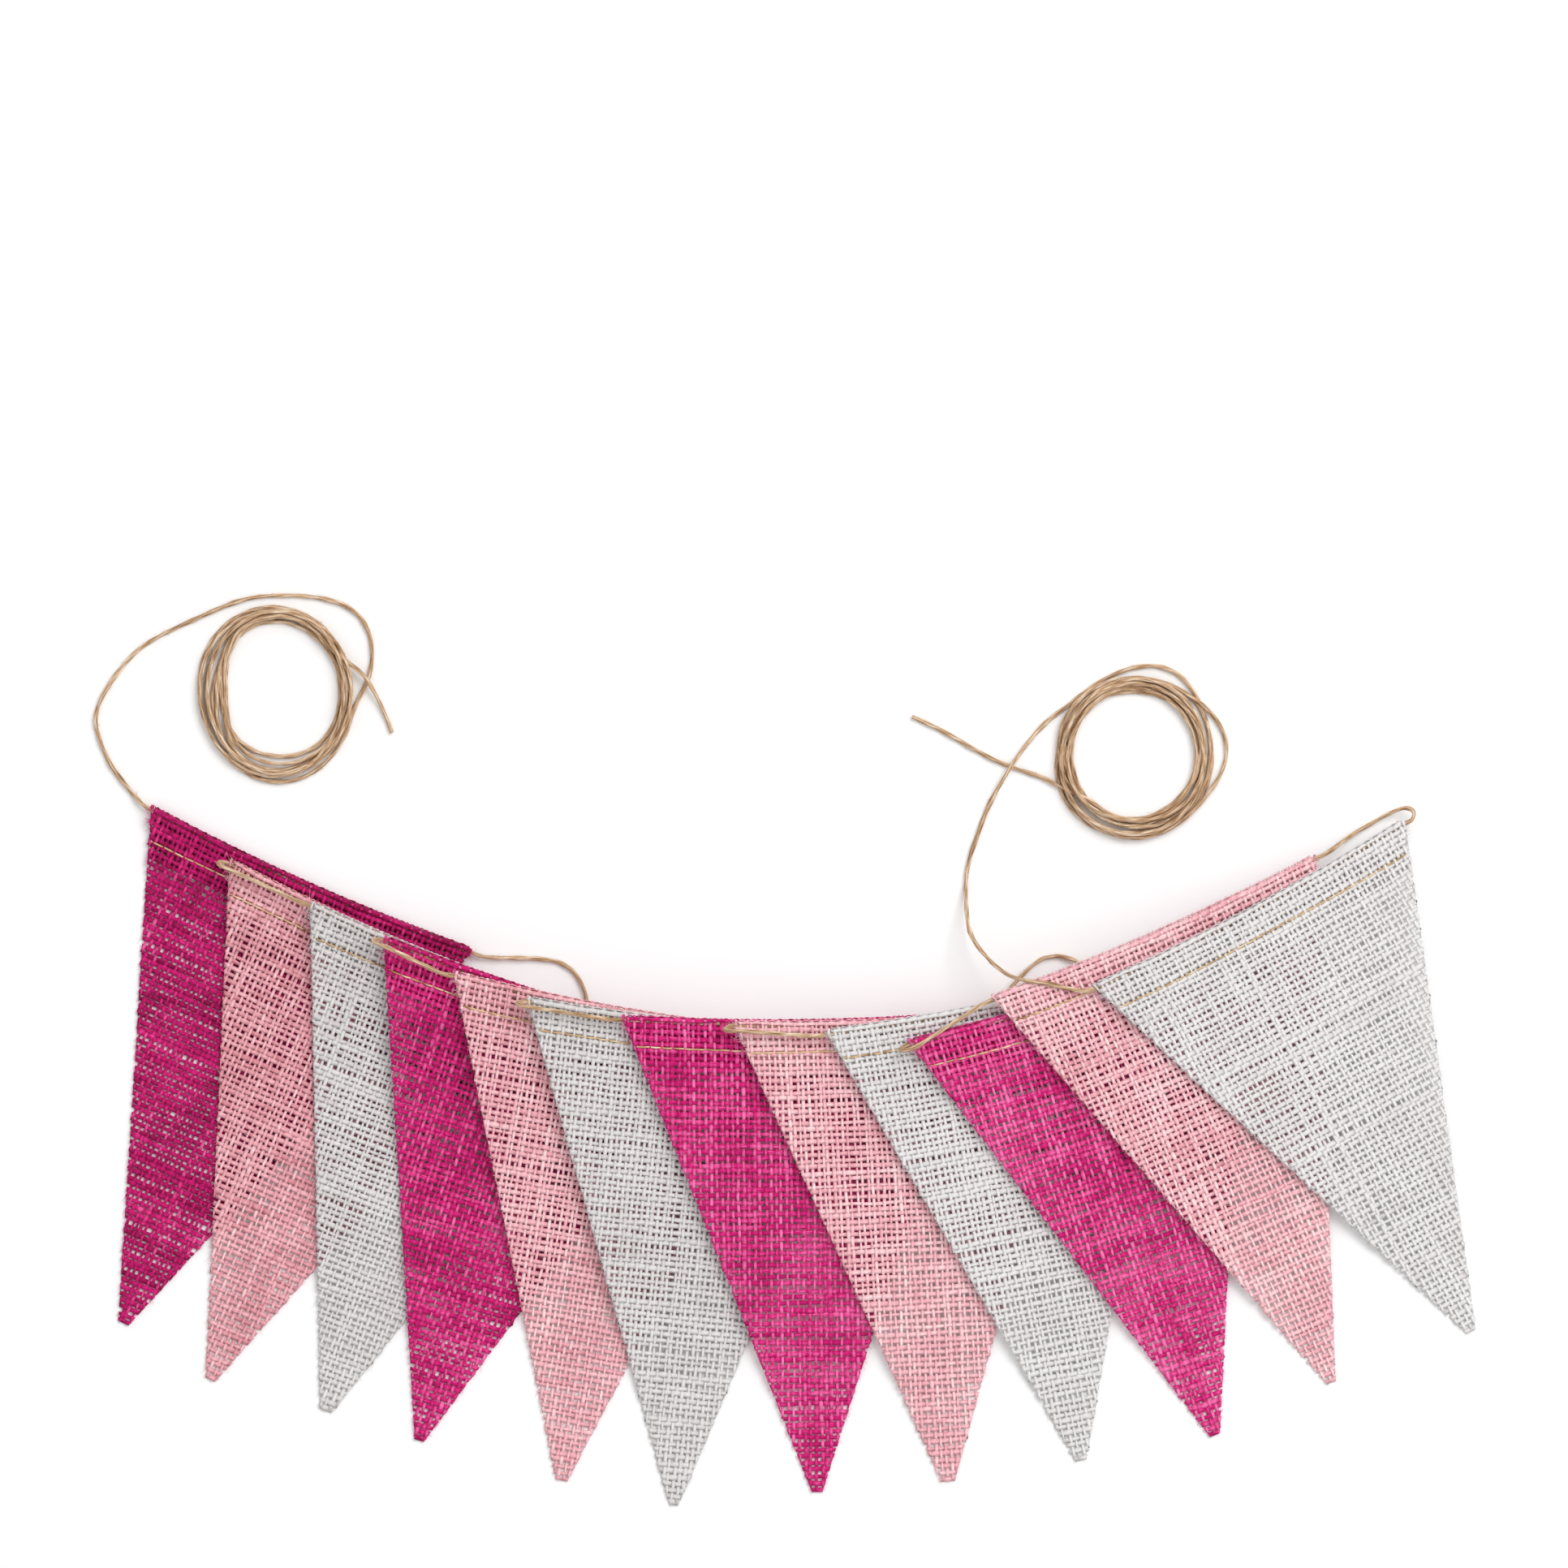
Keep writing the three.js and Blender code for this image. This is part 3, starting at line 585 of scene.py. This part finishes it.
def drift(rng, shape, axis, size):
    """Slow random drift along one axis: random numbers, each the mean of its seven neighbours there."""
    kernel = np.array([1, 2, 3, 4, 3, 2, 1]) / np.sqrt(44)
    noise = np.moveaxis(rng.normal(0, size, shape), axis, -1)
    noise = np.pad(noise, ((0, 0), (3, 3)), "reflect")
    windows = np.lib.stride_tricks.sliding_window_view(noise, 7, axis=1)
    return np.moveaxis(windows @ kernel, -1, axis)


def yarn_rings(points, beside, face, width, thickness):
    """A flattened yarn: rings of five points, the first on its back."""
    angle = 2 * np.pi * (np.arange(YARN_SIDES) / YARN_SIDES + 0.25)
    across = np.cos(angle)[:, None] * beside[:, :, None] * (0.5 * width[..., None, None] * MM)
    through = np.sin(angle)[:, None] * face[:, :, None] * (0.5 * thickness[..., None, None] * MM)
    return points[:, :, None] + across + through


def woven(cloth, rng):
    """Plain weave. Warp i and weft j cross at (u, w)[i, j], each drifting a little, and there one lies over
    the other by turns. A yarn has one ring at each crossing and one more where the cut edge ends it, and
    that one is turned to lie along the cut."""
    flap, tip = cloth.w[0], np.interp(cloth.length, cloth.v[cloth.fold:], cloth.w[cloth.fold:])
    wefts = int((tip - flap) / WEFT_PITCH)
    shape = (WARPS, wefts)
    pitch = PENNANT_WIDTH / WARPS
    u = (np.arange(WARPS) + 0.5 + rng.normal(0, 0.09, WARPS))[:, None] * pitch
    u = u + drift(rng, shape, 1, YARN_DRIFT)
    w = flap + (np.arange(wefts) + 0.5 + rng.normal(0, 0.08, wefts)) * WEFT_PITCH
    w = w + drift(rng, shape, 0, YARN_DRIFT)
    over = np.where((np.arange(WARPS)[:, None] + np.arange(wefts)) % 2, 1.0, -1.0) * WEAVE_RISE
    left_run = (cloth.tip - TIP_WIDTH / 2) / cloth.length
    right_run = (PENNANT_WIDTH - cloth.tip - TIP_WIDTH / 2) / cloth.length
    deepest = np.minimum(u / left_run, (PENNANT_WIDTH - u) / right_run)
    deepest = np.clip(deepest, 0, cloth.length) + rng.uniform(-0.2, 0.3, (WARPS, 1))
    front_end = np.interp(deepest, cloth.v[cloth.fold:], cloth.w[cloth.fold:])
    flap_v, flap_w = cloth.v[:cloth.fold][::-1], cloth.w[:cloth.fold][::-1]
    flap_end = -np.interp(np.minimum(deepest, HEM_DEPTH), flap_v, -flap_w)
    inside = (w < front_end) & (w > flap_end)
    bundles = []

    joined = inside[:, 1:] | inside[:, :-1]
    ends = np.clip(w, flap_end, front_end)
    points, along, run, face = cloth.cloth(u, ends, over)
    grain = drift(rng, shape, 1, 0.13) + rng.normal(0, 0.1, (WARPS, 1))
    width = FULLNESS[cloth.dye] * WARP_SIZE[0] * np.clip(1 + grain, 0.65, 1.5)
    thickness = WARP_SIZE[1] * np.clip(1 + 0.5 * grain, 0.8, 1.2)
    # Painted light: warps start paler than wefts as a painted highlight, the pennant's shade darkens the
    # left pennants as painted shade, and a warp is drawn paler where it lies on top and darker under.
    tone = 0.59 + cloth.shade + rng.normal(0, 0.05, (WARPS, 1)) + drift(rng, shape, 1, 0.06)
    tone = tone + PAINTED_TOP_LIGHT * over / WEAVE_RISE
    steep = np.where(u / left_run < (PENNANT_WIDTH - u) / right_run, 1 / left_run, -1 / right_run)
    slant = np.where(w > front_end, steep, 0.0)[..., None]
    rings = yarn_rings(points, along + slant * run, face, width, thickness)
    bundles.append(bundle(rings, joined, tone[..., None]))

    v = np.interp(w, cloth.w, cloth.v)
    left, right = cloth.sides(np.clip(v, 0, cloth.length))
    left = left - rng.uniform(-0.12, 0.2, (1, wefts))
    right = right + rng.uniform(-0.12, 0.2, (1, wefts))
    inside = (u > left) & (u < right)
    joined = inside[1:] | inside[:-1]
    points, along, run, face = cloth.cloth(np.clip(u, left, right), w, -over)
    grain = drift(rng, shape, 0, 0.12) + rng.normal(0, 0.09, (1, wefts))
    width = FULLNESS[cloth.dye] * WEFT_SIZE[0] * np.clip(1 + grain, 0.65, 1.45)
    thickness = WEFT_SIZE[1] * np.clip(1 + 0.5 * grain, 0.8, 1.2)
    # Painted light: wefts start darker than warps, the pennant's shade darkens the left pennants as painted
    # shade, and a weft is drawn paler where it lies on top and darker under.
    tone = 0.48 + cloth.shade + rng.normal(0, 0.04, (1, wefts)) + drift(rng, shape, 0, 0.05)
    tone = tone - PAINTED_TOP_LIGHT * over / WEAVE_RISE
    slant = np.where(u < left, left_run, np.where(u > right, -right_run, 0.0)) * np.sign(w)
    rings = yarn_rings(points, -run - slant[..., None] * along, face, width, thickness).swapaxes(0, 1)
    bundles.append(bundle(rings, joined.T, tone.T[..., None]))
    return bundles


EDGE_FIBRES = 130
CORNER_FIBRES = 26
EDGE_FIBRE_RADIUS = 0.09 * MM


def frayed(cloth, rng):
    """Fine fibres on the cut edges, more and longer ones at the ends of the hem."""
    v = np.r_[rng.uniform(2, cloth.length - 2, EDGE_FIBRES), rng.uniform(1, 9, CORNER_FIBRES)]
    count = len(v)
    left, right = cloth.sides(v)
    at_left = rng.random(count) < 0.55
    u = np.where(at_left, left + 0.4, right - 0.4)
    w = np.interp(v, cloth.v[cloth.fold:], cloth.w[cloth.fold:])
    points, along, run, face = cloth.cloth(u, w, rng.uniform(-0.2, 0.4, count))
    aside = np.where(at_left, -1.0, 1.0)[:, None] * along
    aim = unit(aside + rng.normal(0, 0.55, (count, 1)) * run + rng.uniform(0, 0.25, (count, 1)) * face)
    bend = rng.normal(0, 0.5, (count, 1)) * run - 0.15 * face
    long = np.r_[rng.uniform(0.8, 2.4, EDGE_FIBRES), rng.uniform(2.0, 5.5, CORNER_FIBRES)] * MM
    tone = rng.uniform(0.45, 0.9, count)
    return hair_bundle(points, aim, bend, long, tone, EDGE_FIBRE_RADIUS)


# Stitching: one row of running stitch in a thin golden jute thread, two thirds of the way down the hem.
# It goes through the front and the flap, so each stitch lies on the face and dips between stitches.
STITCH_LENGTH = 4.2
STITCH_THREAD = 0.31  # radius
STITCH_STEP = 0.7
STITCH_LIFT = 0.85  # of the thread over the cloth's middle
STITCH_MAP_ROWS = 4
CLOTH_MAP_ROWS = 62
FIRST_SEED = 100


def stitch_row(cloth, rng):
    """A thread along the hem: u runs from edge to edge, and its height over the cloth is a flat wave."""
    left, right = cloth.sides(np.array(STITCH_DEPTH))
    u = np.arange(left + 1.0, right - 1.0, STITCH_STEP)[None]
    w = np.interp(STITCH_DEPTH, cloth.v[cloth.fold:], cloth.w[cloth.fold:])
    w = w + 0.35 * np.sin(u / 17 + rng.uniform(0, 6)) + drift(rng, u.shape, 1, 0.06)
    wave = np.clip(1.6 * np.cos(2 * np.pi * u / STITCH_LENGTH) + 1.45, -1, 1)
    points, along, run, face = cloth.cloth(u, w, STITCH_LIFT * wave - 0.1 * (1 - wave))
    size = np.full(u.shape, 2 * STITCH_THREAD)
    rings = yarn_rings(points, -run, face, size, size)
    tone = 0.5 + drift(rng, u.shape, 1, 0.15)
    return bundle(rings, np.ones((1, u.shape[1] - 1), bool), tone[..., None])


THREAD = ((146, 106, 66), (214, 180, 132), (244, 224, 188), 0.1)
thread = yarn_material("stitching_thread", *THREAD)
hessian = {dye: yarn_material(f"hessian_{dye}", *finish) for dye, finish in DYES.items()}
for number, row in enumerate(PENNANTS, start=1):
    rng = np.random.default_rng(FIRST_SEED + number)
    cloth = Pennant(number, row)
    bundles = [*woven(cloth, rng), frayed(cloth, rng)]
    piece = yarn_piece(f"hessian_{number:02d}", bundles, hessian[cloth.dye], CLOTH_MAP_ROWS)
    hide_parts(f"pennant_{number:02d}")
    row_of_stitches = [stitch_row(cloth, rng)]
    stitching = yarn_piece(f"stitching_{number:02d}", row_of_stitches, thread, STITCH_MAP_ROWS)
    cut_area = 0.5 * (PENNANT_WIDTH + TIP_WIDTH) * cloth.length
    cut_area = cut_area + (PENNANT_WIDTH - 2 * CORNER_TRIM) * HEM_DEPTH

# Table and light: a plain white table top, an even white room, and one broad soft lamp from the back
# right, so the weave's holes are dark and the shadows on the table stay faint.
bpy.ops.mesh.primitive_plane_add(size=12, location=(0, 0, -0.0002))
table = bpy.context.object
table.name = "table"
white = bpy.data.materials.new("white_table")
white.use_nodes = True
white.node_tree.nodes["Principled BSDF"].inputs["Base Color"].default_value = (0.93, 0.93, 0.93, 1)
white.node_tree.nodes["Principled BSDF"].inputs["Roughness"].default_value = 0.9
table.data.materials.append(white)
room = bpy.data.worlds.new("room")
bpy.context.scene.world = room
room.use_nodes = True
room.node_tree.nodes["Background"].inputs["Color"].default_value = (1, 1, 1, 1)
room.node_tree.nodes["Background"].inputs["Strength"].default_value = 0.75
lamp = bpy.data.objects.new("soft_lamp", bpy.data.lights.new("soft_lamp", "AREA"))
lamp.data.size = 1.6
lamp.data.energy = 41.0
lamp.location = (1.1, 1.2, 2.2)
lamp.rotation_euler = (-0.47, 0.43, 0.0)
lamp.visible_camera = False
bpy.context.scene.collection.objects.link(lamp)
bpy.context.scene.view_settings.view_transform = "Standard"
